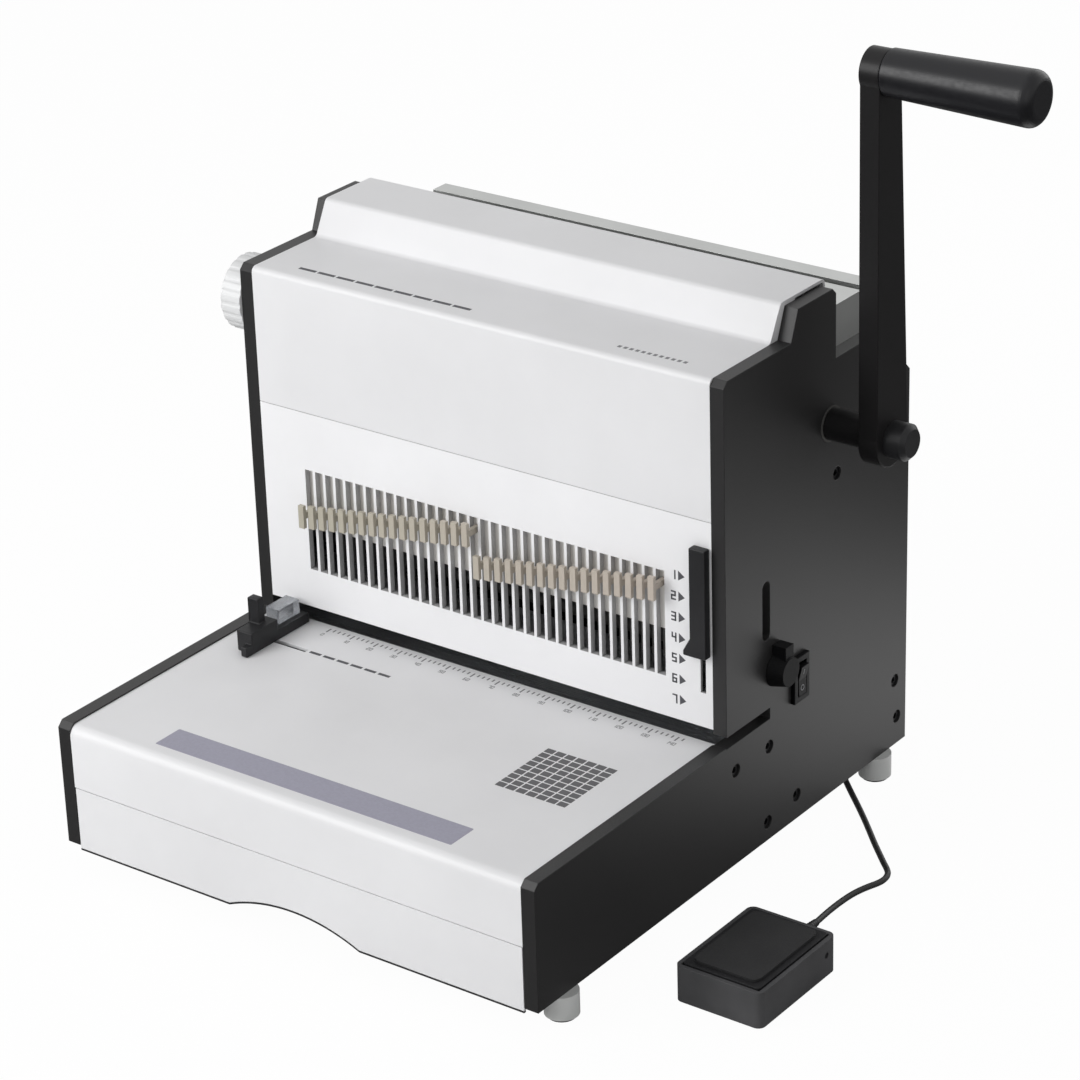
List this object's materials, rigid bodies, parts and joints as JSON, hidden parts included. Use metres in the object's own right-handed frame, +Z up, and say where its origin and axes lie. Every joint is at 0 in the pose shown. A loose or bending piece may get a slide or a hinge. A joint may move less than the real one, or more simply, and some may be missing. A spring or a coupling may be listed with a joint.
{
  "type": "wire binding machine",
  "caption": "Desktop electric wire binding machine: stepped base with paper throat and pull-tab punch, rear wire closer with side lever, waste drawer and corded foot pedal.",
  "frame": {"origin": "on the table, in the middle of the four feet", "axes": "+X to the operator's right (the lever's side), +Y from the front to the back, +Z up"},
  "size_m": [0.5388, 0.416, 0.5357],
  "materials": {
    "plate_black": "satin black powder coat",
    "cover_white": "satin light grey powder coat",
    "rear_black": "satin black powder coat",
    "steel": "ground steel",
    "zinc_sheet": "zinc plated sheet",
    "jaw_steel": "milled and plated steel",
    "ram_grey": "satin passivated plating",
    "pin_steel": "hardened and oiled",
    "pedal_plastic": "fine texture",
    "gear_steel": "hobbed steel",
    "bronze": "sintered bronze",
    "gearbox_grey": "die cast",
    "motor_black": "enamel",
    "screw_black": "black oxide",
    "foot_grey": "satin plated",
    "pad_rubber": "matte",
    "black_plastic": "fine texture",
    "switch_plastic": "smooth",
    "grip_plastic": "smooth",
    "lever_black": "semi-gloss black",
    "tab_tan": "smooth",
    "knob_silver": "machined",
    "window_clear": "clear smoke",
    "cord_black": "matte",
    "board_green": "moulded"
  },
  "bodies": {
    "frame": {"left_plate": "plate_black", "right_plate": "plate_black", "base_pan": "zinc_sheet", "base_cover": "cover_white", "punch_panel": "cover_white", "upper_cover": "cover_white", "rear_cover": "rear_black", "die_block": "steel", "pin_guide": "steel", "tie_rod": "steel", "drive_shelf": "zinc_sheet", "gearbox": "gearbox_grey", "motor": "motor_black", "crank_bearings": "bronze", "closer_bushes": "bronze", "closer_anvil": "jaw_steel", "drawer_runners": "zinc_sheet", "plate_screws": "screw_black", "feet": "foot_grey", "foot_pads": "pad_rubber", "switch_bezel": "switch_plastic", "power_inlet": "black_plastic", "control_box": "board_green", "cord_gland": "black_plastic", "pedal_cord": "cord_black", "pedal_case": "pedal_plastic", "pedal_pin": "screw_black", "pedal_spring": "steel", "pedal_switch": "black_plastic", "pedal_pads": "pad_rubber"},
    "crank": {"crankshaft": "steel", "crank_gear": "gear_steel"},
    "pinion": {"drive_pinion": "gear_steel"},
    "ram": {"ram_bar": "ram_grey", "ram_yokes": "steel", "punch_pins": "pin_steel", "pin_pulls": "tab_tan"},
    "first_pin": {"first_pull": "tab_tan"},
    "last_pin": {"last_pull": "tab_tan"},
    "lever": {"closer_shaft": "steel", "lever_arm": "lever_black", "lever_collar": "lever_black", "hub_cap": "black_plastic", "lever_grip": "grip_plastic"},
    "jaw": {"closer_jaw": "jaw_steel", "jaw_arms": "steel", "jaw_rods": "steel"},
    "gap_stop": {"gap_knob": "knob_silver", "gap_shaft": "steel"},
    "margin": {"margin_knob": "black_plastic", "margin_shaft": "steel"},
    "back_stop": {"margin_stop": "steel"},
    "slider": {"size_slider": "black_plastic"},
    "guide": {"edge_guide": "black_plastic", "guide_window": "window_clear"},
    "drawer": {"drawer_front": "cover_white", "drawer_tray": "zinc_sheet"},
    "rocker": {"switch_rocker": "switch_plastic"},
    "treadle": {"pedal_treadle": "black_plastic", "treadle_mat": "pad_rubber"}
  },
  "joints": [
    {"name": "crank_turn", "type": "hinge", "parent": "frame", "child": "crank", "pos_m": [0, 0.028, 0.272], "axis": [1, 0, 0], "range_deg": [0, 180]},
    {"name": "ram_slide", "type": "slide", "parent": "frame", "child": "ram", "axis": [0, 0, -1], "range_m": [0, 0.032]},
    {"name": "pinion_turn", "type": "hinge", "parent": "frame", "child": "pinion", "pos_m": [-0.146, 0.06477, 0.24115], "axis": [1, 0, 0], "range_deg": [-180, 0]},
    {"name": "first_pull_slide", "type": "slide", "parent": "ram", "child": "first_pin", "axis": [0, -1, 0], "range_m": [0, 0.006]},
    {"name": "last_pull_slide", "type": "slide", "parent": "ram", "child": "last_pin", "axis": [0, -1, 0], "range_m": [0, 0.006]},
    {"name": "lever_swing", "type": "hinge", "parent": "frame", "child": "lever", "pos_m": [0, 0.114, 0.2805], "axis": [1, 0, 0], "range_deg": [0, 90]},
    {"name": "jaw_slide", "type": "slide", "parent": "frame", "child": "jaw", "axis": [0, -1, 0], "range_m": [0, 0.01203]},
    {"name": "gap_knob_turn", "type": "hinge", "parent": "frame", "child": "gap_stop", "pos_m": [-0.19, 0.017, 0.321], "axis": [1, 0, 0], "range_deg": [0, 180]},
    {"name": "margin_knob_turn", "type": "hinge", "parent": "frame", "child": "margin", "pos_m": [0.19, 0.05, 0.137], "axis": [1, 0, 0], "range_deg": [-45, 45]},
    {"name": "margin_stop_slide", "type": "slide", "parent": "frame", "child": "back_stop", "axis": [0, -1, 0], "range_m": [-0.00177, 0.00177]},
    {"name": "size_slide", "type": "slide", "parent": "frame", "child": "slider", "axis": [0, 0, 1], "range_m": [-0.028, 0.05]},
    {"name": "guide_slide", "type": "slide", "parent": "frame", "child": "guide", "axis": [1, 0, 0], "range_m": [0, 0.03]},
    {"name": "drawer_slide", "type": "slide", "parent": "frame", "child": "drawer", "axis": [0, -1, 0], "range_m": [0, 0.22]},
    {"name": "rocker_tilt", "type": "hinge", "parent": "frame", "child": "rocker", "pos_m": [0.184, 0.076, 0.1195], "axis": [0, -1, 0], "range_deg": [0, 12]},
    {"name": "treadle_press", "type": "hinge", "parent": "frame", "child": "treadle", "pos_m": [0.262, -0.056, 0.016], "axis": [1, 0, 0], "range_deg": [0, 4], "stiffness_Nm_per_rad": 6, "springref_deg": -4.58, "deforming": ["pedal_spring"]}
  ],
  "couplings": [
    {"joint": "crank_turn", "follows": "ram_slide", "rad_per_m": 98.17},
    {"joint": "pinion_turn", "follows": "ram_slide", "rad_per_m": -98.17},
    {"joint": "jaw_slide", "follows": "lever_swing", "m_per_rad": 0.0076527},
    {"joint": "margin_knob_turn", "follows": "margin_stop_slide", "rad_per_m": 444.29}
  ]
}
